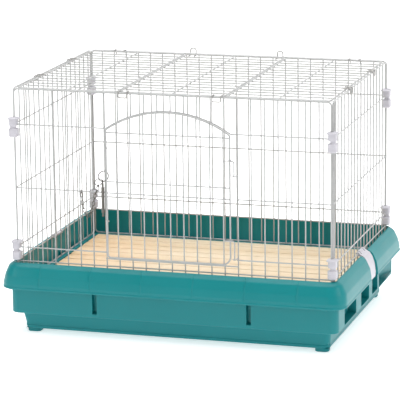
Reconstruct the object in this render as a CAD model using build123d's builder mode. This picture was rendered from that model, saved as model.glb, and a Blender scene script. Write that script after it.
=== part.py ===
from build123d import *
import math
import os

# Small-animal wire cage on a deep plastic tray, with an arched front door, a hinged roof hatch
# and a slatted wooden floor. Millimetres. +X is the cage's right, -Y its front, +Z up, and the
# origin is on the ground under the middle of the tray.

os.makedirs("parts", exist_ok=True)

# Overall sizes: panel planes from centre line to centre line
cage_width = 600.0
cage_depth = 435.0
cage_height = 337.0
wire_pitch = 25.0

# Wires
wire_r = 1.15
rail_r = 1.2
frame_r = 1.6
weld_sink = 0.3
frame_bend = 8.0

# Tray heights, from the ground up
foot_height = 7.0
step_z = 40.5
lip_z = 89.0
apron_top_z = 104.0
seat_z = 122.4
crest_z = 136.0
ledge_z = 88.4

# Tray section, measured outwards from the panel planes
corner_inset = 8.0
base_offset = -8.5
tub_offset = -5.0
apron_offset = 12.0
lip_offset = 28.0
crest_offset = 9.0
groove_wall = 5.3
wall = 2.8

# Wooden floor
slat_top_z = 90.0
slat_thickness = 8.0
slat_width = 30.0
slat_pitch = 34.3
bearer_thickness = 12.0
slat_end_gap = 13.0
slat_side_gap = 9.0

# Levels of the cross rails above the tray's inner rim
rim_rail = 14.0
low_rail = 40.0
mid_rail = 152.0
high_rail = 271.0

# Door opening and door
opening_half = 125.0
sill_rail = 28.0
arch_rise = 36.0
arch_left = -122.0
arch_right = 113.0
door_gap = 1.65
door_frame_r = 1.5
door_left = -120.0
door_right = 113.0
door_bottom = 32.0
door_rails = (153.0, 174.0, 265.0)
door_corner = 16.0
running_gap = 0.35

# Roof
roof_inset = 7.0
hatch_half = 98.5
roof_side_gap = 5.0
hook_r = 1.0
hook_x = 88.0

# Worked-out places
half_w = cage_width / 2
half_d = cage_depth / 2
base_z = seat_z + frame_r
panel_low = ledge_z + frame_r - base_z
top_z = base_z + cage_height
post_y = frame_r + wire_r - weld_sink
rail_y = post_y - (wire_r + rail_r - weld_sink)
door_y = -(frame_r + door_gap + 2 * wire_r - weld_sink + door_frame_r)
front = -half_d
made = []


def save(piece, label):
    """Label one finished piece and write it as its own STEP file."""
    piece.part.label = label
    export_step(piece.part, "parts/" + label + ".step")
    made.append(label)


def side_plane(direction, along, offset):
    """Plane across a tray wall: its x points outwards, its y up."""
    out = Vector(*direction, 0)
    start = Vector(*along, 0) + out * offset
    return Plane(origin=start, x_dir=out, z_dir=out.cross(Vector(0, 0, 1)))


# ---------------------------------------------------------------- tray

def flare(draw_in=0.0, drop=0.0):
    """Convex flare from its underside over the lip to the crest, drawn in and lowered for the notches."""
    lip = lip_offset - draw_in
    top = crest_z - drop
    slope = [(0.0, 0.0), (-0.2, 8.0), (-2.4, 24.5), (-10.5, 41.0)]
    fall = (top - lip_z) / (crest_z - lip_z)
    under = [(lip - wall + u * (lip - 10.5) / 17.5, lip_z + v * 0.94 * fall) for u, v in slope[::-1]]
    over = [(lip + u * (lip - 10.5) / 17.5, lip_z + v * fall) for u, v in slope]
    return under, over + [(crest_offset - draw_in / 4, top)]


def tray_section():
    """Section of the tray's upper wall: tub, ledge, step web, apron, crest and flared rim."""
    under, over = flare()
    back = groove_wall + 2.3
    points = [
        (-corner_inset, step_z),
        (apron_offset, step_z),
        (apron_offset, apron_top_z),
        (apron_offset - wall, apron_top_z),
        (apron_offset - wall, step_z + wall),
        (tub_offset - 0.2, step_z + wall),
        (tub_offset + 1.2, ledge_z - 3.0),
        (back, ledge_z - 3.0),
        (back + 0.3, crest_z - 8.5),
        (back + 1.6, crest_z - 5.0),
    ]
    points += under + over
    points += [(groove_wall, crest_z), (groove_wall, ledge_z), (-corner_inset, ledge_z)]
    with BuildSketch() as section:
        with BuildLine():
            Polyline(*points, close=True)
        make_face()
        rounded = {
            (apron_offset, step_z): 3.0,
            over[1]: 10.0,
            over[2]: 20.0,
            over[3]: 12.0,
            over[4]: 3.0,
            (groove_wall, crest_z): 1.4,
        }
        for corner, radius in rounded.items():
            fillet(section.vertices().sort_by_distance((*corner, 0))[0], radius)
    return section.sketch


tray_core_x = half_w - corner_inset
tray_core_y = half_d - corner_inset
notch_half = 26.0
notch_drop = 6.0
notch_in = 8.0
strap_half = 22.0
# Pockets in the apron of each side wall: middle and half length along the depth
pockets = ((-128.5, 45.0), (-10.5, 32.0), (70.0, 22.0), (150.0, 46.0))
groove_x = 147.0
groove_half = 4.0


def tray_corners():
    """Outward direction of each side in clockwise order, with the core corner where it ends."""
    x, y = tray_core_x, tray_core_y
    return (((1, 0), (x, y), (x, -y)), ((0, -1), (x, -y), (-x, -y)),
            ((-1, 0), (-x, -y), (-x, y)), ((0, 1), (-x, y), (x, y)))


def level_sketch(z, offset, radius):
    """Rounded rectangle at a height, offset outwards from the panel planes."""
    with BuildSketch(Plane.XY.offset(z)) as level:
        RectangleRounded(cage_width + 2 * offset, cage_depth + 2 * offset, radius)
    return level.sketch


def make_tray():
    """One moulded tray: lower tub, swept rim wall, pockets, front grooves, clip notches and feet."""
    section = tray_section()
    web_top = step_z + wall
    with BuildPart() as tray:
        loft([level_sketch(foot_height, base_offset, 14.0), level_sketch(web_top, tub_offset, 6.0)])
        fillet(tray.faces().sort_by(Axis.Z)[0].edges(), 3.5)
        loft([level_sketch(foot_height + wall, base_offset - wall, 11.0),
              level_sketch(web_top + 0.6, -corner_inset - 0.4, 4.0)], mode=Mode.SUBTRACT)
        for direction, start, end in tray_corners():
            length = (Vector(*end) - Vector(*start)).length
            with BuildSketch(side_plane(direction, start, corner_inset)):
                add(section)
            extrude(amount=length)
            with BuildSketch(side_plane(direction, end, corner_inset)):
                add(section)
            revolve(axis=Axis((*end, 0), (0, 0, -1)), revolution_arc=90)
        make_notches()
        # pockets through the apron, closed at both ends by a wall back to the tub
        pocket_tall = apron_top_z - web_top
        end_tall = ledge_z - 2.4 - web_top
        for side in (-1, 1):
            for middle, half in pockets:
                x = side * (half_w + apron_offset - wall / 2)
                with Locations((x, middle, web_top + pocket_tall / 2 + 0.5)):
                    Box(wall + 1.0, 2 * half, pocket_tall + 1.0, mode=Mode.SUBTRACT)
                for end in (-1, 1):
                    deep = apron_offset - tub_offset - 1.5
                    x_wall = side * (half_w + apron_offset - deep / 2)
                    y_wall = middle + end * (half + wall / 2)
                    with Locations((x_wall, y_wall, web_top + end_tall / 2)):
                        Box(deep, wall, end_tall)
        # two narrow grooves in the front apron
        for side in (-1, 1):
            y = front - apron_offset + wall / 2
            with Locations((side * groove_x, y, (step_z + 9.0 + lip_z) / 2)):
                Box(2 * groove_half, wall + 1.0, lip_z - step_z - 9.0, mode=Mode.SUBTRACT)
        # feet
        foot_x = half_w + base_offset - 15.5
        foot_y = half_d + base_offset - 15.0
        with BuildSketch(Plane.XY):
            with Locations(*[(i * foot_x, j * foot_y) for i in (-1, 1) for j in (-1, 1)]):
                RectangleRounded(26.0, 24.0, 9.0)
        extrude(amount=foot_height + 1.2)
    save(tray, "tray")


def make_notches():
    """Clip notches in the rim of both sides: the rim cut away, then a lower, drawn-in rim with end walls."""
    rim_bottom = lip_z - 3.0
    rim_top = crest_z + 3.0
    cut_low = apron_top_z + 1.0
    under, over = flare(notch_in, notch_drop)
    outside, outline = flare()
    back = groove_wall + 2.3
    inner = [(groove_wall + 0.1, cut_low - 2.0), (back - 0.1, cut_low - 2.0), (back, crest_z - 15.0),
             (back + 0.5, crest_z - 12.5)]
    inner += under[1:] + over[:4] + [(over[4][0] + 1.5, over[4][1]), (groove_wall + 0.1, over[4][1])]
    inset = [(outline[0][0] - 0.6, lip_z + 0.5)] + [(u - 0.6, v - 0.4) for u, v in outline[1:]]
    end_wall = [(groove_wall + 1.0, crest_z - 12.0)] + under[1:] + inset
    end_wall += [(groove_wall + 1.0, crest_z - 2.0)]
    for side in (-1, 1):
        with Locations((side * (half_w + 22.0), 0, (rim_bottom + rim_top) / 2)):
            Box(18.0, 2 * notch_half, rim_top - rim_bottom, mode=Mode.SUBTRACT)
        with Locations((side * (half_w + 14.0), 0, (cut_low + rim_top) / 2)):
            Box(20.0, 2 * notch_half, rim_top - cut_low, mode=Mode.SUBTRACT)
    for side in (-1, 1):
        start = Vector(side * half_w, side * notch_half, 0)
        plane = Plane(origin=start, x_dir=(side, 0, 0), z_dir=(0, -side, 0))
        with BuildSketch(plane) as low_rim:
            with BuildLine():
                Polyline(*inner, close=True)
            make_face()
        extrude(low_rim.sketch, amount=2 * notch_half)
        for move in (-2.0, 2 * notch_half - 0.5):
            with BuildSketch(plane.offset(move)) as closing:
                with BuildLine():
                    Polyline(*end_wall, close=True)
                make_face()
            extrude(closing.sketch, amount=2.5)


# ---------------------------------------------------------------- wooden floor

slat_count = int((2 * (half_d - slat_side_gap) - slat_width) // slat_pitch) + 1
slat_span = (slat_count - 1) * slat_pitch
slat_length = cage_width - 2 * slat_end_gap


def make_floor():
    """Slats across the tray, carried by three boards on edge that stand in the tub."""
    for i in range(slat_count):
        y = -slat_span / 2 + i * slat_pitch
        with BuildPart() as slat:
            with Locations((0, y, slat_top_z - slat_thickness / 2)):
                Box(slat_length, slat_width, slat_thickness)
            fillet(slat.edges().filter_by(Axis.X).group_by(Axis.Z)[-1], 1.5)
        save(slat, f"floor_slat_{i + 1:02d}")
    low = foot_height + wall
    tall = slat_top_z - slat_thickness - low
    for name, x in (("left", -0.35), ("middle", 0.0), ("right", 0.35)):
        with BuildPart() as bearer:
            with Locations((x * cage_width, 0, low + tall / 2)):
                Box(bearer_thickness, slat_span - 20.0, tall)
        save(bearer, "floor_bearer_" + name)


# ---------------------------------------------------------------- wire panels

def rod(start, end, radius):
    """A straight round wire between two points."""
    start = Vector(*start)
    end = Vector(*end)
    with BuildSketch(Plane(origin=start, z_dir=end - start)) as wire:
        Circle(radius)
    extrude(wire.sketch, amount=(end - start).length)


def frame_loop(half, low, high):
    """Closed border wire of a panel in its own XZ plane."""
    corners = [(-half, low), (half, low), (half, high), (-half, high)]
    with BuildLine(Plane.XZ) as path:
        Polyline(*corners, close=True)
        fillet(path.vertices(), frame_bend)
    with BuildSketch(Plane(origin=(0, 0, low), z_dir=(1, 0, 0))) as wire:
        Circle(frame_r)
    sweep(wire.sketch, path=path.wires()[0])


def pitch_places(span):
    """Places of the upright wires between two frame wires that are span apart."""
    count = round(span / wire_pitch)
    step = span / count
    return [-span / 2 + i * step for i in range(1, count)]


def plain_panel(half, span, height):
    """Frame, uprights and four cross rails, standing in the XZ plane with its front at -Y."""
    with BuildPart() as panel:
        frame_loop(half, panel_low, height)
        with Locations(*[(x, post_y, (height + panel_low) / 2) for x in pitch_places(span)]):
            Cylinder(wire_r, height - panel_low + 2 * 0.8)
        with Locations(*[(0, rail_y, z) for z in (rim_rail, low_rail, mid_rail, high_rail)]):
            Cylinder(rail_r, 2 * half, rotation=(0, 90, 0))
    return panel.part


def placed(part, x, y, z, turn, label):
    """Write a panel built in the XZ plane, turned about Z and moved to its place."""
    with BuildPart() as piece:
        add(Location((x, y, z), (0, 0, turn)) * part)
    save(piece, label)


corner_gap = 1.8
front_half = half_w - corner_gap
side_half = half_d - 4.0


def make_plain_panels():
    """Back and side panels."""
    placed(plain_panel(front_half, cage_width, cage_height), 0, half_d, base_z, 180, "back_panel")
    side = plain_panel(side_half, cage_depth, cage_height)
    placed(side, half_w, 0, base_z, 90, "right_panel")
    placed(side, -half_w, 0, base_z, -90, "left_panel")


def arch_height(x):
    """Height of the arch wire's centre line above the bottom frame at x."""
    middle = (arch_left + arch_right) / 2
    half = (arch_right - arch_left) / 2
    radius = (half ** 2 + arch_rise ** 2) / (2 * arch_rise)
    return high_rail + arch_rise - radius + math.sqrt(radius ** 2 - (x - middle) ** 2)


def make_front_panel():
    """Front panel with its arched opening, as four flat grilles that meet beside the door posts."""
    full = plain_verticals()
    cut_x = opening_half - wire_r - 0.35
    middle_z = (sill_rail + high_rail) / 2
    tall = cage_height - 4 * panel_low
    side_w = 60.0 + half_w - cut_x
    boxes = (
        ("front_panel_left", -cut_x - side_w / 2, side_w, cage_height / 2, tall),
        ("front_panel_right", cut_x + side_w / 2, side_w, cage_height / 2, tall),
        ("front_panel_header", 0, 2 * cut_x, middle_z + tall / 2, tall),
        ("front_panel_sill", 0, 2 * cut_x, middle_z - tall / 2, tall),
    )
    for label, x, wide, z, high in boxes:
        with BuildPart() as piece:
            add(full)
            with Locations((x, 0, z)):
                Box(wide, 40, high, mode=Mode.INTERSECT)
        placed(piece.part, 0, front, base_z, 0, label)


def plain_verticals():
    """The whole front grille in its own XZ plane, before it is divided."""
    places = pitch_places(cage_width)
    inside = [x for x in places if abs(x) < opening_half - 1]
    outside = [x for x in places if abs(x) >= opening_half - 1]
    end = 0.8
    arch_middle = (arch_left + arch_right) / 2
    with BuildPart() as panel:
        frame_loop(front_half, panel_low, cage_height)
        with Locations(*[(x, post_y, (cage_height + panel_low) / 2) for x in outside]):
            Cylinder(wire_r, cage_height - panel_low + 2 * end)
        with Locations(*[(x, post_y, (sill_rail + panel_low) / 2) for x in inside]):
            Cylinder(wire_r, sill_rail - panel_low + 2 * end)
        with Locations((0, rail_y, rim_rail)):
            Cylinder(rail_r, 2 * front_half, rotation=(0, 90, 0))
        for x in inside:
            low = arch_height(x) - end if x < arch_right else high_rail - end
            rod((x, post_y, low), (x, post_y, cage_height + end), wire_r)
        with Locations((0, rail_y, sill_rail)):
            Cylinder(rail_r, 2 * opening_half + 2, rotation=(0, 90, 0))
        for z in (low_rail, mid_rail):
            for side in (-1, 1):
                rod((side * (opening_half - 1.5), rail_y, z), (side * front_half, rail_y, z), rail_r)
        rod((-front_half, rail_y, high_rail), (arch_left, rail_y, high_rail), rail_r)
        rod((arch_right, rail_y, high_rail), (front_half, rail_y, high_rail), rail_r)
        with BuildLine(Plane.XZ.offset(-rail_y)) as arch:
            ThreePointArc((arch_left - 0.4, high_rail - 0.3), (arch_middle, high_rail + arch_rise),
                          (arch_right + 0.4, high_rail - 0.3))
        with BuildSketch(Plane(origin=arch.line @ 0, z_dir=arch.line % 0)):
            Circle(rail_r)
        sweep(path=arch.line)
    return panel.part


# ---------------------------------------------------------------- door and latch

door_plane = front + door_y
latch_y = door_plane - (door_frame_r + running_gap + hook_r)
latch_x = 101.5
latch_tip_x = 121.5
latch_low = 77.0
latch_high = 224.0
latch_tips = (45.0, 198.0)
latch_r = 1.2
latch_travel = 14.0


def make_door():
    """Arched door: border wire, uprights behind it, three cross rails and the pivots' stops."""
    spring = high_rail - 1.0
    upright_y = door_frame_r + wire_r - weld_sink
    cross_y = upright_y - (wire_r + rail_r - weld_sink)
    middle = (door_left + door_right) / 2
    half = (door_right - door_left) / 2
    uprights = [x for x in pitch_places(cage_width) if door_left + 5 < x < door_right - 5]
    with BuildPart() as door:
        with BuildLine(Plane.XZ) as border:
            Line((door_left, spring), (door_left, door_bottom))
            Line((door_left, door_bottom), (door_right, door_bottom))
            Line((door_right, door_bottom), (door_right, spring))
            ThreePointArc((door_right, spring), (middle, spring + arch_rise), (door_left, spring))
            corners = border.vertices().sort_by(Axis.Z)
            low_left, low_right = corners[:2].sort_by(Axis.X)
            fillet(low_right, door_corner)
            fillet(low_left, 6.0)
            fillet(border.vertices().sort_by(Axis.Z)[-2:], 5.0)
        with BuildSketch(Plane(origin=(middle, 0, door_bottom), z_dir=(1, 0, 0))):
            Circle(door_frame_r)
        sweep(path=border.wires()[0])
        radius = (half ** 2 + arch_rise ** 2) / (2 * arch_rise)
        for x in uprights:
            top = spring + arch_rise - radius + math.sqrt(radius ** 2 - (x - middle) ** 2)
            rod((x, upright_y, door_bottom - 0.8), (x, upright_y, top + 0.8), wire_r)
        for z in door_rails:
            rod((door_left, cross_y, z), (door_right, cross_y, z), rail_r)
    placed(door.part, 0, door_plane, base_z, 0, "door")


eye_levels = (("lower", 100.0), ("upper", 236.0))


def make_door_eyes():
    """Two wire eyes welded to the left post, in which the door's border wire turns."""
    ring = door_frame_r + running_gap + hook_r
    for name, z in eye_levels:
        post = Vector(-opening_half, front + post_y, base_z + z)
        centre = Vector(door_left, door_plane, base_z + z)
        tail_x = centre.X - ring
        with BuildPart() as eye:
            with BuildLine(Plane(origin=centre, x_dir=(1, 0, 0), z_dir=(0, 0, 1))) as path:
                Line((-ring, post.Y - centre.Y + 1.5), (-ring, 0))
                CenterArc((0, 0), ring, 180, 250)
            with BuildSketch(Plane(origin=path.line @ 0, z_dir=path.line % 0)):
                Circle(hook_r)
            sweep(path=path.line)
        eye.part.label = "door_eye_" + name
        save(eye, "door_eye_" + name)


def make_latch():
    """Sliding wire latch on the door's free edge, shown raised, and its two keepers."""
    low_tip, high_tip = latch_tips
    route = [
        (latch_tip_x, latch_y, base_z + low_tip),
        (latch_tip_x, latch_y, base_z + latch_low),
        (latch_x, latch_y, base_z + latch_low),
        (latch_x, latch_y, base_z + latch_high),
        (latch_tip_x, latch_y, base_z + latch_high),
        (latch_tip_x, latch_y, base_z + high_tip),
    ]
    ring = door_frame_r + running_gap + hook_r
    with BuildPart() as latch:
        with BuildLine() as path:
            FilletPolyline(*route, radius=3.5)
        with BuildSketch(Plane(origin=route[0], z_dir=(0, 0, 1))):
            Circle(latch_r)
        sweep(path=path.wires()[0])
        with Locations(*[(door_right, door_plane, base_z + z) for z in (latch_low, latch_high)]):
            Torus(ring, hook_r)
    save(latch, "door_latch")
    keeper_ring = latch_r + 0.5 + hook_r
    for name, tip in (("lower", low_tip), ("upper", high_tip)):
        z = base_z + tip - hook_r - 0.5
        post = Vector(opening_half, front + post_y - wire_r + 0.1, z)
        with BuildPart() as keeper:
            with BuildLine(Plane(origin=(latch_tip_x, latch_y, z), x_dir=(1, 0, 0), z_dir=(0, 0, 1))) as path:
                Line((keeper_ring, post.Y - latch_y - 0.2), (keeper_ring, 0))
                CenterArc((0, 0), keeper_ring, 0, -250)
            with BuildSketch(Plane(origin=path.line @ 0, z_dir=path.line % 0)):
                Circle(hook_r)
            sweep(path=path.line)
        save(keeper, "latch_keeper_" + name)


# ---------------------------------------------------------------- roof

roof_low = post_y
roof_depth_half = half_d - roof_inset


def flat_grille(x_low, x_high, label):
    """A roof panel: border wire, cross wires below it and two long wires, all flat."""
    middle = (x_low + x_high) / 2
    half = (x_high - x_low) / 2
    step = cage_depth / round(cage_depth / wire_pitch)
    rows = [-half_d + i * step for i in range(1, round(cage_depth / step))]
    inner = [y for y in rows if abs(y) < roof_depth_half - 4]
    with BuildPart() as panel:
        with BuildLine(Plane.XY) as path:
            Polyline((-half, -roof_depth_half), (half, -roof_depth_half), (half, roof_depth_half),
                     (-half, roof_depth_half), close=True)
            fillet(path.vertices(), frame_bend)
        with BuildSketch(Plane(origin=(0, -roof_depth_half, 0), z_dir=(1, 0, 0))):
            Circle(frame_r)
        sweep(path=path.wires()[0])
        with Locations(*[(0, y, -roof_low) for y in inner]):
            Cylinder(wire_r, 2 * (half + 0.8), rotation=(0, 90, 0))
        long_z = -roof_low + wire_r + rail_r - weld_sink
        with Locations((0, 0, long_z)):
            Cylinder(rail_r, 2 * roof_depth_half, rotation=(90, 0, 0))
    with BuildPart() as piece:
        add(Location((middle, 0, top_z)) * panel.part)
    save(piece, label)


hook_reach = 7.5
leg_z = frame_r + hook_r + 0.12


def hook(x, y, turn, half_width, label):
    """Hairpin hook over a wall's top wire. Local -Y is outwards, local origin on that wire."""
    inside = roof_inset + 4.0
    out = -(frame_r + hook_r + 0.5)
    low = leg_z - hook_reach - 3.0
    route = [
        (half_width, inside, leg_z), (half_width, out, leg_z), (half_width, out, low),
        (-half_width, out, low), (-half_width, out, leg_z), (-half_width, inside, leg_z),
    ]
    with BuildPart() as shape:
        with BuildLine() as path:
            FilletPolyline(*route, radius=2.5)
        with BuildSketch(Plane(origin=route[0], z_dir=(0, -1, 0))):
            Circle(hook_r)
        sweep(path=path.wires()[0])
    with BuildPart() as piece:
        add(Location((x, y, top_z), (0, 0, turn)) * shape.part)
    save(piece, label)


def hinge_loop(x, label):
    """Hatch hinge: a hairpin that passes under the back wall's top wire and stands up behind it."""
    half_width = 5.5
    bend = frame_r + running_gap + hook_r
    inside = roof_inset + 4.0
    up = 11.0
    route = [
        (half_width, -inside, -bend), (half_width, bend, -bend), (half_width, bend, up),
        (-half_width, bend, up), (-half_width, bend, -bend), (-half_width, -inside, -bend),
    ]
    with BuildPart() as shape:
        with BuildLine() as path:
            FilletPolyline(*route, radius=[bend - 0.05, 4.6, 4.6, bend - 0.05])
        with BuildSketch(Plane(origin=route[0], z_dir=(0, 1, 0))):
            Circle(hook_r)
        sweep(path=path.wires()[0])
    with BuildPart() as piece:
        add(Location((x, half_d, top_z)) * shape.part)
    save(piece, label)


side_hook_places = (("front", -87.0), ("rear", 95.0))
back_hook_x = 237.5


def make_roof():
    """Two fixed roof panels, the hatch between them, and all their hooks."""
    inner = hatch_half + roof_side_gap
    outer = half_w - roof_inset
    flat_grille(-outer, -inner, "roof_panel_left")
    flat_grille(inner, outer, "roof_panel_right")
    flat_grille(-hatch_half, hatch_half, "roof_hatch")
    for name, side in (("left", -1), ("right", 1)):
        hook(side * hook_x, front, 0, 8.0, "hatch_hook_" + name)
        hinge_loop(side * hook_x, "hatch_hinge_" + name)
        hook(side * back_hook_x, half_d, 180, 10.0, "roof_hook_back_" + name)
        for place, y in side_hook_places:
            hook(side * half_w, y, side * 90, 8.0, f"roof_hook_{name}_{place}")


# ---------------------------------------------------------------- clips

clip_side = 17.0
clip_height = 37.0
clip_drop = 5.5
clip_flange = 20.0
clip_waist = 9.0


def make_corner_clips():
    """Plastic clips that join the upright frame wires of two panels, above and below a rail."""
    wire_hole = frame_r + 0.3
    for level_name, level in (("lower", low_rail), ("upper", high_rail)):
        for y_name, y_side in (("front", -1), ("back", 1)):
            for x_name, x_side in (("left", -1), ("right", 1)):
                x = x_side * (half_w - 0.6)
                y = y_side * (half_d - 1.6)
                z = base_z + level
                low = z - clip_drop - clip_height / 2
                with BuildPart() as clip:
                    with BuildSketch(Plane.XY.offset(low)):
                        with Locations((x, y)):
                            RectangleRounded(clip_side, clip_side, 5.0)
                    extrude(amount=clip_height)
                    with BuildSketch(Plane.XY.offset(low + clip_height - 4.5)):
                        with Locations((x, y)):
                            RectangleRounded(clip_flange, clip_flange, 6.0)
                    extrude(amount=4.5)
                    outer = clip.faces().sort_by(Axis.Z)
                    fillet(outer[0].edges(), 2.0)
                    fillet(outer[-1].edges(), 1.5)
                    with Locations((x - x_side * 3.0, y - y_side * 3.0, z)):
                        Box(clip_side, clip_side, clip_waist, mode=Mode.SUBTRACT)
                    for px, py in ((x_side * front_half, y_side * half_d),
                                   (x_side * half_w, y_side * side_half)):
                        with Locations((px, py, z)):
                            Cylinder(wire_hole, 2 * clip_height, mode=Mode.SUBTRACT)
                    with Locations((x_side * (front_half - 8.0), y_side * (half_d - 8.0), z)):
                        Box(14.0, 14.0, 2 * clip_height, mode=Mode.SUBTRACT)
                save(clip, f"corner_clip_{y_name}_{x_name}_{level_name}")


def make_side_clips():
    """Wide plastic clips that turn on the side panels' rim rails and catch under the rim's lip."""
    bore = rail_r + running_gap
    hub = bore + 2.4
    pivot_z = base_z + rim_rail
    lip_x = lip_offset - notch_in + rail_y
    lip_fall = lip_z - pivot_z
    toe_r = math.hypot(lip_x, lip_fall) + 0.35
    thick = 2.8
    lip_angle = math.degrees(math.atan2(lip_fall, lip_x))
    side_step = cage_depth / round(cage_depth / wire_pitch)

    def polar(radius, angle):
        """Point at a radius and angle about the clip's pivot."""
        angle = math.radians(angle)
        return (radius * math.cos(angle), radius * math.sin(angle))

    toe_start = lip_angle + 3.0
    toe_end = lip_angle - 7.0
    for name, side in (("left", -1), ("right", 1)):
        plane = Plane(origin=(side * (half_w - rail_y), side * strap_half, pivot_z), x_dir=(side, 0, 0),
                      z_dir=(0, -side, 0))
        with BuildPart() as clip:
            with BuildSketch(plane) as profile:
                with BuildLine():
                    Line(polar(toe_r + thick, toe_end), polar(toe_r, toe_end))
                    CenterArc((0, 0), toe_r, toe_end, toe_start - toe_end)
                    Polyline(polar(toe_r, toe_start), (lip_x + 1.6, lip_fall + 8.0),
                             (lip_x - 0.6, lip_fall + 23.0), (lip_x - 4.6, lip_fall + 35.0),
                             (11.4, -7.6), (7.2, -5.2), (1.5, -2.9), (0.8, 2.9), (7.6, -1.4),
                             (13.2, -4.6), (lip_x - 2.0, lip_fall + 36.6),
                             (lip_x + 2.2, lip_fall + 24.0), (lip_x + 4.5, lip_fall + 8.0),
                             polar(toe_r + thick, toe_start))
                    CenterArc((0, 0), toe_r + thick, toe_start, toe_end - toe_start)
                make_face()
                Circle(hub)
                Circle(bore, mode=Mode.SUBTRACT)
                with Locations((-hub, -1.0)):
                    Rectangle(2 * hub, 2.0, mode=Mode.SUBTRACT)
            extrude(amount=2 * strap_half)
            for y in (-side_step / 2, side_step / 2):
                with Locations(Location((side * (half_w - rail_y), y, pivot_z), (90, 0, 0))):
                    Cylinder(6.2, 3.8, mode=Mode.SUBTRACT)
        save(clip, "side_clip_" + name)


# ---------------------------------------------------------------- ring, snap hook and chain

ring_r = 9.7
ring_wire = 0.9
ring_tilt = 28.0
ring_centre = (-opening_half - 3.6, front + 0.6, base_z + 182.0)
loop_r = 6.9
loop_wire = 0.7
loop_shift = (-8.15, -3.52, -10.62)
loop_normal = (0.575, -0.754, -0.318)
snap_r = 2.8
snap_length = 66.0
link_wire = 0.6
link_width = 2.2
link_overlap = 1.4
link_count = 15
end_ring = 2.4
rail_ring = 3.0


def oval(plane, half_length):
    """A closed chain link of round wire, long along the plane's x."""
    with BuildLine(plane) as path:
        Polyline((-half_length, -link_width), (half_length, -link_width), (half_length, link_width),
                 (-half_length, link_width), close=True)
        fillet(path.vertices(), link_width * 0.96)
    start = plane.from_local_coords(Vector(0, -link_width, 0))
    with BuildSketch(Plane(origin=start, z_dir=plane.x_dir)) as wire:
        Circle(link_wire)
    sweep(wire.sketch, path=path.wires()[0])


def lowest(centre, normal, radius):
    """Lowest point of a tilted ring's centre line, and the direction of its wire there."""
    normal = Vector(*normal).normalized()
    down = Vector(0, 0, -1)
    down = (down - normal * down.dot(normal)).normalized()
    return Vector(*centre) + down * radius, normal.cross(down)


def make_tether():
    """Split ring on the left post, a second loop through it, a snap hook and a hanging chain."""
    tilt = math.radians(ring_tilt)
    ring_normal = (0, -math.cos(tilt), math.sin(tilt))
    with BuildPart() as ring:
        with Locations(Plane(origin=ring_centre, z_dir=ring_normal).location):
            Torus(ring_r, ring_wire)
    save(ring, "tether_ring")
    centre = [c + d for c, d in zip(ring_centre, loop_shift)]
    with BuildPart() as loop:
        with Locations(Plane(origin=centre, z_dir=loop_normal).location):
            Torus(loop_r, loop_wire)
    save(loop, "tether_loop")
    x, y, z = lowest(ring_centre, ring_normal, ring_r)[0]
    eye = 2.9
    body_top = z - eye - 8.0
    body_low = z - snap_length + 7.0
    profile = [
        (0, z - eye - 0.9), (1.9, z - eye - 0.9), (1.9, body_top), (snap_r - 0.6, body_top),
        (snap_r, body_top - 0.6), (snap_r, body_low + 0.6), (snap_r - 0.6, body_low), (1.6, body_low),
        (1.6, body_low - 2.6), (2.3, body_low - 3.6), (2.3, body_low - 5.6), (1.3, body_low - 7.0),
        (0, body_low - 7.0),
    ]
    with BuildPart() as snap:
        with BuildSketch(Plane(origin=(x, y, 0), x_dir=(1, 0, 0), z_dir=(0, -1, 0))):
            with BuildLine():
                Polyline(*profile, close=True)
            make_face()
        revolve(axis=Axis((x, y, 0), (0, 0, 1)))
        with Locations(Location((x, y, z - 0.6), (0, 90, 0))):
            Torus(eye, 0.8)
    save(snap, "snap_hook")
    make_chain(*lowest(centre, loop_normal, loop_r))


def make_chain(low, tangent):
    """Chain from the loop's lowest point, hanging in front of the grille and back to its middle rail."""
    top = low - Vector(0, 0, 0.75)
    foot = Vector(-opening_half - 46.0, front + rail_y, base_z + mid_rail - 0.8)
    start = top - Vector(0, 0, 1.0)
    end = foot - Vector(0, 0, 1.45)
    y = front - 4.1
    middle = foot.Z - 46.0
    with BuildPart() as chain:
        with BuildLine(mode=Mode.PRIVATE) as route:
            Spline(start, Vector(start.X - 3.2, y + 0.2, start.Z - 9.4),
                   Vector(start.X - 8.6, y - 0.3, middle + 28.0), Vector(start.X - 14.2, y, middle + 8.0),
                   Vector(start.X - 20.4, y + 0.4, middle), Vector(start.X - 26.6, y + 1.6, middle + 9.0),
                   Vector(end.X + 1.8, y + 2.8, middle + 27.0), end)
        line = route.edges()[0]
        total = line.length
        pitch = (total - link_overlap) / link_count
        joints = [line.position_at((link_overlap / 2 + i * pitch) / total) for i in range(link_count + 1)]
        for i in range(link_count):
            along = (joints[i + 1] - joints[i]).normalized()
            flat = (Vector(0, 1, 0) - along * along.Y).normalized()
            normal = flat if i % 2 == 0 else along.cross(flat)
            middle_point = (joints[i] + joints[i + 1]) * 0.5
            half = ((joints[i + 1] - joints[i]).length + link_overlap) / 2
            oval(Plane(origin=middle_point, x_dir=along, z_dir=normal), half)
        with Locations(Plane(origin=top, z_dir=tangent).location):
            Torus(end_ring, link_wire)
        with Locations(Plane(origin=foot, z_dir=(1, 0, 0)).location):
            Torus(rail_ring, link_wire + 0.1)
    print("chain pitch", round(pitch, 3), "solids", len(chain.part.solids()), "top", top, "foot", foot)
    save(chain, "chain")


make_tray()
make_floor()
make_plain_panels()
make_front_panel()
make_door()
make_door_eyes()
make_latch()
make_roof()
make_corner_clips()
make_side_clips()
make_tether()
print(len(made), "parts")
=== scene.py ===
import math

import bmesh
import bpy
import numpy as np
from mathutils import Matrix, Vector


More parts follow.
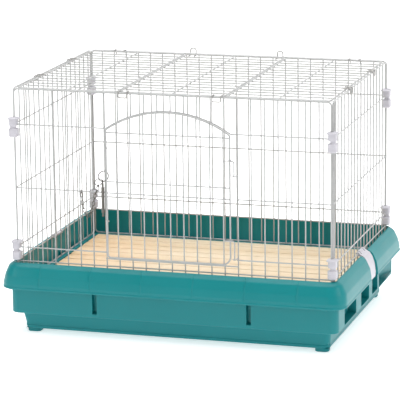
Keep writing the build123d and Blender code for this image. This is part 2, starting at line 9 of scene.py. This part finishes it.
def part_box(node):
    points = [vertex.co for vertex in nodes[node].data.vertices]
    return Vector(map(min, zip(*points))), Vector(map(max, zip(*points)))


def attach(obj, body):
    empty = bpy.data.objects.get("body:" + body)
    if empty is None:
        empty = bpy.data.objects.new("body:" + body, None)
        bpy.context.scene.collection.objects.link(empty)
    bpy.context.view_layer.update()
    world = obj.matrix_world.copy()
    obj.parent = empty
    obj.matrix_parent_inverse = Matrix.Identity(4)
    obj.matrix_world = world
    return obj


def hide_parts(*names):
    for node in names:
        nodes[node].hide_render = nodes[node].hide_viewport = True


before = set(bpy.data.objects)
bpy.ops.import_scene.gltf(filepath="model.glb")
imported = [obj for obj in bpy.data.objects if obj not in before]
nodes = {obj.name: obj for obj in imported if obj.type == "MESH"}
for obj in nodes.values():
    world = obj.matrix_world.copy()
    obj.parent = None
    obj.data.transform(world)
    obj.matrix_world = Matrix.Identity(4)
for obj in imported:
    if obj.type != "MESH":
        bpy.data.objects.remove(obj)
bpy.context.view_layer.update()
MM = 0.001
slat_pitch = 0.0343


# ---------------------------------------------------------------- shader expressions

class Socket:
    """A shader value that takes + and * with numbers or other values."""

    def __init__(self, finish, out):
        self.finish = finish
        self.out = out

    def math(self, operation, a, b):
        return self.finish.node("ShaderNodeMath", {"operation": operation}, {0: a, 1: b})

    def __add__(self, other):
        return self.math("ADD", self, other)

    def __radd__(self, other):
        return self.math("ADD", other, self)

    def __mul__(self, other):
        return self.math("MULTIPLY", self, other)


class Finish:
    """One material: node() adds a node, mix() blends colours, surface() sets the shader."""

    def __init__(self, name):
        self.material = bpy.data.materials.new(name)
        self.material.use_nodes = True
        self.tree = self.material.node_tree
        self.shader = self.tree.nodes["Principled BSDF"]

    def node(self, kind, settings=None, inputs=None, output=0):
        made = self.tree.nodes.new(kind)
        for key, value in (settings or {}).items():
            if key == "stops":
                ramp = made.color_ramp.elements
                while len(ramp) < len(value):
                    ramp.new(0.5)
                for stop, (place, level) in zip(ramp, value):
                    stop.position = place
                    stop.color = (level, level, level, 1)
            else:
                setattr(made, key, value)
        for key, value in (inputs or {}).items():
            self.put(made.inputs[key], value)
        return Socket(self, made.outputs[output])

    def put(self, target, value):
        if isinstance(value, Socket):
            self.tree.links.new(value.out, target)
        elif isinstance(value, (tuple, list)) and len(value) == 3 and target.type == "RGBA":
            target.default_value = (*value, 1)
        else:
            target.default_value = value

    def coords(self):
        return self.node("ShaderNodeTexCoord", output="Object")

    def stretched(self, scale):
        """Object coordinates scaled per axis, in metres."""
        return self.node("ShaderNodeMapping", {}, {"Vector": self.coords(), "Scale": scale})

    def noise(self, vector, scale, detail=3.0, rough=0.5):
        return self.node("ShaderNodeTexNoise", {},
                         {"Vector": vector, "Scale": scale, "Detail": detail, "Roughness": rough})

    def ramp(self, value, *stops):
        return self.node("ShaderNodeValToRGB", {"stops": stops}, {"Fac": value})

    def mix(self, factor, a, b):
        return self.node("ShaderNodeMix", {"data_type": "RGBA"}, {0: factor, 6: a, 7: b}, output=2)

    def surface(self, bump=None, height=0.0002, strength=1.0, **values):
        for key, value in values.items():
            self.put(self.shader.inputs[key.replace("_", " ")], value)
        if bump is not None:
            normal = self.node("ShaderNodeBump", {},
                               {"Strength": strength, "Distance": height, "Height": bump})
            self.put(self.shader.inputs["Normal"], normal)
        return self.material


def teal_plastic():
    """Injection-moulded polypropylene: fine orange peel, faint flow marks, and painted shade that dulls
    the colour low down, under the rim.
    """
    f = Finish("teal_moulded_plastic")
    flow = f.noise(f.stretched((6, 6, 2)), 1.0, 2.0)
    peel = f.noise(f.coords(), 900.0, 2.0)
    sweep = f.noise(f.coords(), 14.0, 3.0)
    height = f.node("ShaderNodeSeparateXYZ", {}, {0: f.coords()}, output="Z")
    # painted shade: the height ramp is 1 at the floor and 0 near the rim, and the mix below blends up to
    # half of it towards a duller teal (0.008, 0.200, 0.225) as shade under the flare
    low = f.ramp(height * 8.0, (0.0, 1.0), (0.72, 0.55), (1.0, 0.0))
    base = f.mix(flow, (0.004, 0.200, 0.215), (0.006, 0.240, 0.252))
    base = f.mix(low * 0.5, base, (0.008, 0.200, 0.225))
    return f.surface(peel + sweep * 2.0, 0.00006, 0.6, Base_Color=base,
                     Roughness=0.30 + sweep * 0.10, Specular_IOR_Level=0.28)


def wire_coating():
    """Pale vinyl-dipped wire, a little uneven in tone and gloss."""
    f = Finish("white_dipped_wire")
    run = f.noise(f.coords(), 60.0, 3.0)
    fine = f.noise(f.coords(), 420.0, 2.0)
    tone = f.mix(run, (0.39, 0.395, 0.395), (0.47, 0.475, 0.475))
    return f.surface(run + fine * 0.4, 0.0001, 0.4, Base_Color=tone,
                     Roughness=0.34 + fine * 0.1, Coat_Weight=0.2)


def plated_steel():
    """Dark plated spring wire with dull handling marks."""
    f = Finish("plated_steel_wire")
    marks = f.noise(f.coords(), 260.0, 4.0, 0.6)
    tone = f.mix(marks, (0.09, 0.085, 0.075), (0.20, 0.19, 0.175))
    return f.surface(marks, 0.00005, 0.5, Base_Color=tone, Metallic=0.85,
                     Roughness=0.24 + marks * 0.22)


def hook_wire():
    """Galvanised roof hooks, paler than the chain."""
    f = Finish("galvanised_hook_wire")
    spangle = f.node("ShaderNodeTexVoronoi", {}, {"Vector": f.coords(), "Scale": 700.0})
    tone = f.mix(spangle, (0.30, 0.295, 0.28), (0.42, 0.41, 0.40))
    return f.surface(spangle, 0.00004, 0.4, Base_Color=tone, Metallic=0.6,
                     Roughness=0.30 + spangle * 0.15)


def clip_plastic():
    """Satin off-white moulded clips, slightly translucent-looking lilac grey."""
    f = Finish("lilac_grey_clip_plastic")
    grain = f.noise(f.coords(), 1100.0, 2.0)
    cloud = f.noise(f.coords(), 45.0, 2.0)
    tone = f.mix(cloud, (0.50, 0.49, 0.54), (0.58, 0.565, 0.61))
    return f.surface(grain, 0.00005, 0.5, Base_Color=tone, Roughness=0.36 + grain * 0.12,
                     Coat_Weight=0.1)


def floor_wood():
    """Planed pine: long grain along X, darker growth lines, each board its own tone."""
    f = Finish("planed_pine_boards")
    place = f.coords()
    across = f.node("ShaderNodeSeparateXYZ", {}, {0: place}, output="Y")
    board = f.node("ShaderNodeTexWhiteNoise", {"noise_dimensions": "1D"},
                   {"W": f.node("ShaderNodeMath", {"operation": "FLOOR"},
                                {0: across * (1 / slat_pitch) + 0.5})})
    wander = f.noise(f.stretched((2.2, 30, 30)), 1.0, 2.0)
    lines = f.noise(f.stretched((5, 150, 150)), 1.0, 4.0, 0.62)
    fibre = f.noise(f.stretched((22, 900, 900)), 1.0, 3.0, 0.7)
    late = f.ramp(lines * 0.7 + wander * 0.5, (0.44, 0.0), (0.66, 0.45), (0.90, 1.0))
    tone = f.mix(board, (0.73, 0.59, 0.41), (0.79, 0.66, 0.49))
    tone = f.mix(late * 0.38, tone, (0.72, 0.45, 0.19))
    along = f.node("ShaderNodeSeparateXYZ", {}, {0: place}, output="X")
    warm = f.ramp(along * -2.2 + 0.1, (0.30, 0.0), (0.72, 1.0))
    tone = f.mix(warm * 0.42, tone, (0.88, 0.50, 0.22))
    tone = f.mix(fibre * 0.16, tone, (0.95, 0.86, 0.66))
    return f.surface(lines + fibre * 0.8, 0.00018, 0.7, Base_Color=tone,
                     Roughness=0.52 + fibre * 0.14)


def paper_floor():
    """Seamless pale studio paper."""
    f = Finish("studio_paper")
    fleck = f.noise(f.coords(), 40.0, 3.0)
    return f.surface(Base_Color=f.mix(fleck, (0.86, 0.86, 0.86), (0.88, 0.88, 0.88)), Roughness=0.85,
                     Emission_Color=(1.0, 1.0, 1.0), Emission_Strength=0.62)


teal = teal_plastic()
coating = wire_coating()
steel = plated_steel()
galvanised = hook_wire()
clip_finish = clip_plastic()
pine = floor_wood()


# ---------------------------------------------------------------- mesh helpers

def mesh_piece(name, points, faces, finish, body, crease=38.0):
    """A mesh object in the row frame, smooth except where faces meet more sharply than crease."""
    mesh = bpy.data.meshes.new(name)
    mesh.from_pydata(np.asarray(points).reshape(-1, 3).tolist(), [], np.asarray(faces).tolist()
                     if isinstance(faces, np.ndarray) else faces)
    work = bmesh.new()
    work.from_mesh(mesh)
    bmesh.ops.remove_doubles(work, verts=work.verts, dist=2e-6)
    bmesh.ops.dissolve_degenerate(work, edges=work.edges, dist=1e-6)
    bmesh.ops.recalc_face_normals(work, faces=work.faces)
    for face in work.faces:
        face.smooth = True
    for edge in work.edges:
        edge.smooth = edge.is_manifold and edge.calc_face_angle(0) < math.radians(crease)
    work.to_mesh(mesh)
    work.free()
    mesh.materials.append(finish)
    piece = bpy.data.objects.new(name, mesh)
    bpy.context.scene.collection.objects.link(piece)
    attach(piece, body)
    return piece


def grid_faces(rows, columns, wrap_rows=False, wrap_columns=False):
    """Quads of a rows by columns grid of points, optionally joined end to end."""
    r = np.arange(rows if wrap_rows else rows - 1)[:, None]
    c = np.arange(columns if wrap_columns else columns - 1)[None, :]
    r2 = (r + 1) % rows
    c2 = (c + 1) % columns
    return np.stack([r * columns + c, r * columns + c2, r2 * columns + c2, r2 * columns + c],
                    axis=-1).reshape(-1, 4)


def rounded_outline(corners, steps=4):
    """Outline with each corner (a, b, radius) replaced by an arc of steps + 1 points that is
    tangent to both of its sides."""
    c = np.array(corners, float)
    p = c[:, :2]
    radius = np.maximum(c[:, 2], 0.05)
    back = np.roll(p, 1, axis=0) - p
    ahead = np.roll(p, -1, axis=0) - p
    back /= np.linalg.norm(back, axis=1)[:, None]
    ahead /= np.linalg.norm(ahead, axis=1)[:, None]
    half = np.arccos(np.clip((back * ahead).sum(1), -1, 1)) / 2
    middle = back + ahead
    length = np.linalg.norm(middle, axis=1)
    straight = length < 1e-6
    middle /= np.where(straight, 1, length)[:, None]
    centre = p + middle * (radius / np.sin(half))[:, None]
    start = p + back * (radius / np.tan(half))[:, None] - centre
    end = p + ahead * (radius / np.tan(half))[:, None] - centre
    turn = np.arctan2(start[:, 0] * end[:, 1] - start[:, 1] * end[:, 0], (start * end).sum(1))
    angle = turn[:, None] * np.linspace(0, 1, steps + 1)[None, :]
    x = centre[:, :1] + start[:, :1] * np.cos(angle) - start[:, 1:] * np.sin(angle)
    y = centre[:, 1:] + start[:, :1] * np.sin(angle) + start[:, 1:] * np.cos(angle)
    made = np.stack([x, y], axis=-1)
    made[straight] = p[straight][:, None, :]
    return made.reshape(-1, 2)


def step(value, edge, width):
    """Rises from 0 below edge to 1 above it, over width."""
    t = np.clip((value - edge) / width + 0.5, 0, 1)
    return t * t * (3 - 2 * t)


def band(value, middle, half, width):
    """1 within half of middle and 0 outside, with soft sides width wide."""
    return step(value, middle - half, width) * (1 - step(value, middle + half, width))


# ---------------------------------------------------------------- tray

tray_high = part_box("tray")[1]
lip_out = 28.0
half_x = tray_high.x / MM - lip_out
half_y = tray_high.y / MM - lip_out
straight_end = 32.0
foot = 7.0
crest = tray_high.z / MM
lip_z = crest - 47.0
ledge_z = crest - 47.6
step_z = 40.5
apron_u = 12.0
apron_in = 9.2
groove_wall = 5.3
notch_half = 26.0
pocket_places = ((-128.5, 45.0), (-10.5, 32.0), (70.0, 22.0), (150.0, 46.0))
groove_places = ((-147.0, 4.0), (147.0, 4.0))
seam_places = [-250.0 + 98.0 * k for k in range(6)]
panel_pitch = 100.0


def tub_face(z):
    """Outward place of the tub wall's outer face at a height inside the apron."""
    return -5.2 + (z - 43.3) / 42.1 * 1.4


def tray_outline():
    """Section of the wall as (outward, up, radius) corners, from the floor's underside round."""
    return [
        [-29.5, foot, 0], [-8.5, foot, 3.0], [-7.7, foot + 5.5, 0.8], [-8.6, foot + 7.0, 0.6],
        [-5.0, step_z, 0.8], [apron_u, step_z, 2.4], [apron_u, 47.5, 0], [apron_u, 50.0, 0],
        [apron_u, 86.0, 0], [apron_u, 100.0, 0], [apron_u, 104.0, 0.6], [apron_in, 104.0, 0.6],
        [apron_in, 100.0, 0], [apron_in, 86.0, 0], [apron_in, 50.0, 0], [apron_in, 43.3, 0.6],
        [-5.2, 43.3, 0.6], [-3.8, ledge_z - 3, 1.0], [7.6, ledge_z - 3, 1.0], [7.9, crest - 8.5, 1.0],
        [9.2, crest - 5.0, 1.0], [14.7, crest - 8.5, 4.0], [22.8, lip_z + 23.0, 14.0],
        [25.0, lip_z + 7.5, 6.0], [25.2, lip_z + 0.4, 0.4], [lip_out + 0.2, lip_z, 1.0],
        [lip_out + 0.3, lip_z + 3.2, 1.2], [27.4, lip_z + 4.6, 0.8], [27.4, lip_z + 10.0, 6.0],
        [25.3, lip_z + 24.5, 16.0], [17.5, lip_z + 41.0, 11.0], [9.0, crest, 3.0],
        [groove_wall, crest, 1.4], [groove_wall, crest - 5.0, 0.4], [groove_wall, ledge_z, 0.6],
        [-8.0, ledge_z, 0.8], [-11.0, 10.0, 2.0], [-29.5, 9.8, 0],
    ]


def corner_radius(u, z):
    """Radius of the rounded corner in plan: 8 mm more than the outward place, tighter on the
    apron, and from 14 down to 7 mm up the lower tub."""
    radius = np.maximum(u + 8.0, 1.0)
    radius = np.where((u > 8.5) & (z > step_z - 0.1) & (z < 104.5), u + 3.0, radius)
    lower = (z < step_z - 0.5) & (u > -10) & (u < -4)
    return np.where(lower, 14.0 - (z - foot) / (step_z - foot) * 7.0, radius)


def pocket_outline():
    """The same corners where a pocket opens the apron back to the tub wall."""
    made = tray_outline()
    made[6] = [apron_u, 43.6, 0.2]
    for k, z in ((7, 44.9), (8, 78.0), (9, 81.0), (10, 84.4)):
        made[k] = [tub_face(z) + 0.9, z, 0.2]
    for k, z in ((11, 84.8), (12, 81.5), (13, 78.0), (14, 50.0), (15, 44.2)):
        made[k] = [tub_face(z) + 0.35, z, 0.1]
    return made


def groove_outline():
    """The same corners where a narrow groove sinks into the front apron."""
    made = tray_outline()
    for k in (7, 8):
        made[k] = [2.5, made[k][1] + (0.6 if k == 7 else -0.6), 0.2]
    for k in (13, 14):
        made[k] = [2.0, made[k][1], 0.1]
    return made


def notch_outline():
    """The same corners inside a clip notch, where crest and flare are lower and drawn in."""
    made = tray_outline()
    top = crest - 6.0
    drawn = {19: (7.6, top - 10.0, 0.5), 20: (8.4, top - 5.8, 0.5), 21: (11.5, top - 7.4, 2.0),
             22: (15.9, lip_z + 20.0, 10.0), 23: (17.1, lip_z + 6.6, 5.0), 24: (17.2, lip_z + 0.4, 0.4),
             25: (20.2, lip_z, 1.0), 26: (20.3, lip_z + 3.2, 1.2), 27: (19.6, lip_z + 4.6, 0.8),
             28: (19.6, lip_z + 9.0, 5.0), 29: (18.5, lip_z + 21.4, 12.0), 30: (14.2, lip_z + 35.8, 6.0),
             31: (8.0, top, 1.5), 32: (groove_wall, top, 1.0), 33: (groove_wall, top - 4.0, 0.4)}
    for k, corner in drawn.items():
        made[k] = list(corner)
    return made


def seam_outline():
    """The same corners at a faint upright crease in the flare."""
    made = tray_outline()
    for k in (28, 29, 30, 31):
        made[k] = [made[k][0] - 0.8, made[k][1] - 0.3, made[k][2]]
    return made


def panel_outline():
    """The same corners on the shallow sunk panels of the rim's inner face."""
    made = tray_outline()
    for k in (33, 34):
        made[k] = [made[k][0] + 0.9, made[k][1], made[k][2]]
    return made


def side_stations(length, edges):
    """Places along a side of the wall: an even spread plus close pairs at each feature's edges."""
    even = np.arange(-length, length + 1e-6, 2 * length / math.ceil(length / 11))
    pairs = [np.array(edges) + offset for offset in (-0.9, -0.3, 0.3, 0.9)]
    made = np.unique(np.round(np.concatenate([even, *pairs]), 3))
    return made[(made >= -length) & (made <= length)]


def tray_moulding():
    """Wall of the tray. Along a side, point = side middle + outward direction x (half size + u)
    + t along it + up x v, where (u, v) is the section outline blended towards a feature's outline
    by that feature's weight at t. Round a corner each point keeps its own arc: centre at half
    size + u - R both ways, R from corner_radius."""
    base = rounded_outline(tray_outline())
    delta = {key: rounded_outline(make()) - base for key, make in (
        ("pocket", pocket_outline), ("groove", groove_outline), ("notch", notch_outline),
        ("seam", seam_outline), ("panel", panel_outline))}
    panels = np.arange(-2.5, 3) * panel_pitch
    radius = corner_radius(base[:, 0], base[:, 1])
    rings = []
    for turn in range(4):
        angle = turn * math.pi / 2
        out = np.array([math.cos(angle), math.sin(angle)])
        along = np.array([-out[1], out[0]])
        on_side = turn % 2 == 0
        reach = half_x if on_side else half_y
        span = half_y if on_side else half_x
        length = span - straight_end
        facing = out[0] if on_side else out[1]
        openings = pocket_places if on_side else groove_places
        edges = [m + s * h for m, h in openings for s in (-1, 1)]
        if on_side:
            edges += [-notch_half, notch_half]
        else:
            edges += [x + o for x in seam_places for o in (-1.2, 1.2)]
        edges += [x + o for x in panels if abs(x) < length for o in (-1.2, 1.2)]
        flip = facing * (1 if on_side else -1)
        t = side_stations(length, [e * flip for e in edges])
        place = t * flip
        weight = {key: np.zeros(len(t)) for key in delta}
        if on_side:
            weight["pocket"] = sum(band(place, m, h, 0.8) for m, h in pocket_places)
            weight["notch"] = band(place, 0.0, notch_half, 1.8)
        else:
            weight["seam"] = sum(band(place, x, 1.0, 1.8) for x in seam_places)
            if facing < 0:
                weight["groove"] = sum(band(place, m, h, 0.8) for m, h in groove_places)
        weight["panel"] = sum(band(place, x + panel_pitch / 4, panel_pitch / 4, 3.0) for x in panels)
        weight["panel"] = weight["panel"] * (1 - weight["notch"])
        shape = base[None] + sum(weight[k][:, None, None] * delta[k][None] for k in delta)
        ground = out[None, None] * (reach + shape[..., :1]) + along[None, None] * t[:, None, None]
        rings.append(np.concatenate([ground, shape[..., 1:]], axis=-1))
        arc = np.linspace(0, math.pi / 2, 16)[:, None]
        outwards = reach + base[None, :, 0] - radius + radius * np.cos(arc)
        sideways = span + base[None, :, 0] - radius + radius * np.sin(arc)
        ground = out * outwards[..., None] + along * sideways[..., None]
        up = np.broadcast_to(base[None, :, 1:], ground.shape[:2] + (1,))
        rings.append(np.concatenate([ground, up], axis=-1))
    points = np.concatenate(rings) * MM
    faces = grid_faces(len(points), points.shape[1], True, True)
    piece = mesh_piece("tray_moulding", points, faces, teal, "cage", 32)
    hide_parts("tray")
    return piece


def rounded_slab(name, middle, size, radius, edge, finish, body):
    """A slab whose outline is a rounded rectangle and whose rims are rounded: rings of the
    outline, drawn in by edge x (1 - cos a) and set at height h/2 - edge x (1 - sin a)."""
    sx, sy, sz = size
    lean = np.linspace(0, math.pi / 2, 4)
    inset = np.concatenate([edge * (1 - np.cos(lean))[::-1], edge * (1 - np.cos(lean))])
    level = np.concatenate([-sz / 2 + edge * (1 - np.sin(lean))[::-1],
                            sz / 2 - edge * (1 - np.sin(lean))])
    arc = np.linspace(0, math.pi / 2, 7)
    rings = []
    for sink, z in zip(inset, level):
        corner = np.stack([np.cos(arc), np.sin(arc)], -1) * (radius - sink)
        loop = []
        for k, (i, j) in enumerate(((1, 1), (-1, 1), (-1, -1), (1, -1))):
            c, s = math.cos(k * math.pi / 2), math.sin(k * math.pi / 2)
            spun = corner @ np.array([[c, s], [-s, c]])
            loop.append(spun + np.array([i * (sx / 2 - radius), j * (sy / 2 - radius)]))
        loop = np.concatenate(loop)
        rings.append(np.column_stack([loop, np.full(len(loop), z)]))
    points = np.array(rings)
    count = points.shape[1]
    faces = grid_faces(len(points), count, False, True).tolist()
    faces.append(list(range(count))[::-1])
    faces.append([(len(points) - 1) * count + k for k in range(count)])
    points = (points + np.array(middle)) * MM
    return mesh_piece(name, points.reshape(-1, 3), faces, finish, body)


def tray_base():
    """Flat floor inside the wall, and the four feet."""
    plate = rounded_slab("tray_floor_plate", (0, 0, foot + 1.4), (2 * half_x - 53, 2 * half_y - 53, 2.7),
                         4.0, 0.4, teal, "cage")
    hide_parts("tray")
    for i in (-1, 1):
        for j in (-1, 1):
            end = "right" if i > 0 else "left"
            side = "back" if j > 0 else "front"
            pad = rounded_slab(f"tray_foot_{side}_{end}",
                               (i * (half_x - 24.0), j * (half_y - 23.5), foot / 2 + 0.4),
                               (26.0, 24.0, foot + 0.8), 8.0, 0.8, teal, "cage")
            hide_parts("tray")


# ---------------------------------------------------------------- wooden slats

rng = np.random.default_rng(7)


def slat_board(node):
    """A planed board: a rounded-corner section carried along X, bowed by a fraction of a
    millimetre, with eased ends."""
    low, high = (np.array(c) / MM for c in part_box(node))
    size = high - low
    middle = (high + low) / 2
    section = rounded_outline([(-size[1] / 2, -size[2] / 2, 0.8), (size[1] / 2, -size[2] / 2, 0.8),
                               (size[1] / 2, size[2] / 2, 1.6), (-size[1] / 2, size[2] / 2, 1.6)], 4)
    end = size[0] / 2
    along = np.concatenate([[-end, -end + 0.4, -end + 1.2], np.linspace(-end + 20, end - 20, 21),
                            [end - 1.2, end - 0.4, end]])
    ease = np.ones(len(along))
    ease[[0, -1]] = 0.93
    ease[[1, -2]] = 0.98
    sway = 0.25 * np.sin(along / 170 + rng.uniform(0, 6)) * rng.uniform(0.3, 1)
    y = section[None, :, 0] * ease[:, None] + sway[:, None]
    z = section[None, :, 1] * ease[:, None]
    x = np.broadcast_to(along[:, None], y.shape)
    points = (np.stack([x, y, z], -1) + middle) * MM
    count = points.shape[1]
    faces = grid_faces(len(along), count, False, True).tolist()
    faces.append(list(range(count))[::-1])
    faces.append([(len(along) - 1) * count + k for k in range(count)])
    piece = mesh_piece(node.replace("floor_slat", "slat_board"), points, faces, pine, "cage")
    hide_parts(node)


# ---------------------------------------------------------------- clips

def corner_clip(node):
    """Moulded clip: a superellipse in plan, power 4.2, whose half width follows the height. It
    has rounded ends, a deep waist, a wider flange on top and shallow grip ribs below."""
    low, high = (np.array(c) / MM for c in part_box(node))
    middle = (high + low) / 2
    half = (high - low) / 2
    z = np.concatenate([np.linspace(-1, -0.16, 30), np.linspace(-0.13, 0.13, 9),
                        np.linspace(0.16, 1, 26)])
    rim = 1 - np.clip((np.abs(z) - 0.86) / 0.14, 0, 1) ** 2 * 0.32
    waist = 1 - 0.40 * (1 - np.clip((np.abs(z) - 0.08) / 0.10, 0, 1))
    upper = np.where(z > 0.78, 1.0, np.where(z > 0, 0.78, 0.85))
    ribs = 1 - 0.035 * (np.sin((z + 0.9) * 42) > 0.2) * (z < -0.3) * (z > -0.84)
    scale = rim * waist * upper * ribs
    angle = np.linspace(0, 2 * math.pi, 40, endpoint=False)
    power = 2 / 4.2
    ring = np.stack([np.sign(np.cos(angle)) * np.abs(np.cos(angle)) ** power,
                     np.sign(np.sin(angle)) * np.abs(np.sin(angle)) ** power], -1)
    shift = np.sign(middle[:2]) * (1 - scale)[:, None] * half[:2] * 0.35
    flat = ring[None] * scale[:, None, None] * half[:2] + shift[:, None]
    points = np.concatenate([flat, np.broadcast_to(z[:, None, None] * half[2],
                                                   flat.shape[:2] + (1,))], -1) + middle
    count = points.shape[1]
    faces = grid_faces(len(z), count, False, True).tolist()
    faces.append(list(range(count))[::-1])
    faces.append([(len(z) - 1) * count + k for k in range(count)])
    piece = mesh_piece(node.replace("corner_clip", "clip"), points * MM, faces, clip_finish,
                       "cage")
    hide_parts(node)


# ---------------------------------------------------------------- carried-over nodes

def dress(node, finish):
    """Gives a CAD node that is kept its own finish."""
    slots = nodes[node].material_slots
    for s in slots:
        s.material = finish
    if not slots:
        nodes[node].data.materials.append(finish)


tray_moulding()
tray_base()
for node in sorted(nodes):
    if node.startswith("floor_slat"):
        slat_board(node)
    elif node.startswith("corner_clip"):
        corner_clip(node)
    elif node.startswith("floor_bearer"):
        dress(node, pine)
    elif node.startswith("side_clip"):
        dress(node, clip_finish)
    elif node.startswith(("tether", "snap", "chain")):
        dress(node, steel)
    elif node.startswith(("roof_hook", "hatch_hook", "hatch_hinge")):
        dress(node, galvanised)
    elif node != "tray":
        dress(node, coating)


# ---------------------------------------------------------------- studio

def studio():
    """Pale floor that curves up behind, soft lights and a long lens from the front right."""
    t = np.linspace(0, 1, 40)
    bend = 3.0
    y = np.concatenate([[-9.0], 5.0 + bend * np.sin(t * math.pi / 2), [5.0 + bend]])
    z = np.concatenate([[0.0], bend * (1 - np.cos(t * math.pi / 2)), [9.0]])
    x = np.linspace(-14, 14, 15)
    points = np.stack(np.broadcast_arrays(x[None, :], y[:, None], z[:, None]), -1)
    mesh = bpy.data.meshes.new("studio_floor")
    mesh.from_pydata(points.reshape(-1, 3).tolist(), [], grid_faces(len(y), len(x)).tolist())
    mesh.shade_smooth()
    mesh.materials.append(paper_floor())
    floor = bpy.data.objects.new("studio_floor", mesh)
    bpy.context.scene.collection.objects.link(floor)

    def softbox(name, place, size, power, tint=(1, 1, 1)):
        lamp = bpy.data.lights.new(name, "AREA")
        lamp.shape = "RECTANGLE"
        lamp.size, lamp.size_y = size
        lamp.energy = power
        lamp.color = tint
        box = bpy.data.objects.new(name, lamp)
        bpy.context.scene.collection.objects.link(box)
        box.location = place
        aim = Vector((0, 0, 0.2)) - Vector(place)
        box.rotation_euler = aim.to_track_quat("-Z", "Y").to_euler()

    softbox("top_softbox", (0.0, 0.2, 3.2), (3.6, 2.2), 95)
    softbox("front_left_softbox", (-2.8, -3.2, 1.7), (1.8, 1.8), 30)
    softbox("right_softbox", (3.6, -0.6, 1.4), (1.6, 1.6), 30, (1.0, 0.97, 0.96))
    softbox("shoulder_strip", (0.0, -1.25, 3.0), (3.2, 0.22), 20)
    world = bpy.data.worlds.new("studio_air")
    bpy.context.scene.world = world
    world.use_nodes = True
    world.node_tree.nodes["Background"].inputs["Color"].default_value = (1, 1, 1, 1)
    world.node_tree.nodes["Background"].inputs["Strength"].default_value = 0.30

    lens = bpy.data.cameras.new("studio_camera")
    lens.lens = 227.3
    lens.sensor_width = 36
    lens.clip_end = 60
    camera = bpy.data.objects.new("studio_camera", lens)
    bpy.context.scene.collection.objects.link(camera)
    camera.location = (1.3415, -4.4581, 1.2860)
    aim = Vector((-0.006, -0.0175, 0.2240)) - camera.location
    turn = aim.to_track_quat("-Z", "Y").to_matrix() @ roll(-0.688)
    camera.rotation_euler = turn.to_euler()
    bpy.context.scene.camera = camera
    bpy.context.scene.view_settings.view_transform = "Standard"


def roll(degrees):
    """A turn about the camera's own line of sight."""
    c, s = math.cos(math.radians(degrees)), math.sin(math.radians(degrees))
    return Matrix(((c, -s, 0), (s, c, 0), (0, 0, 1)))


studio()
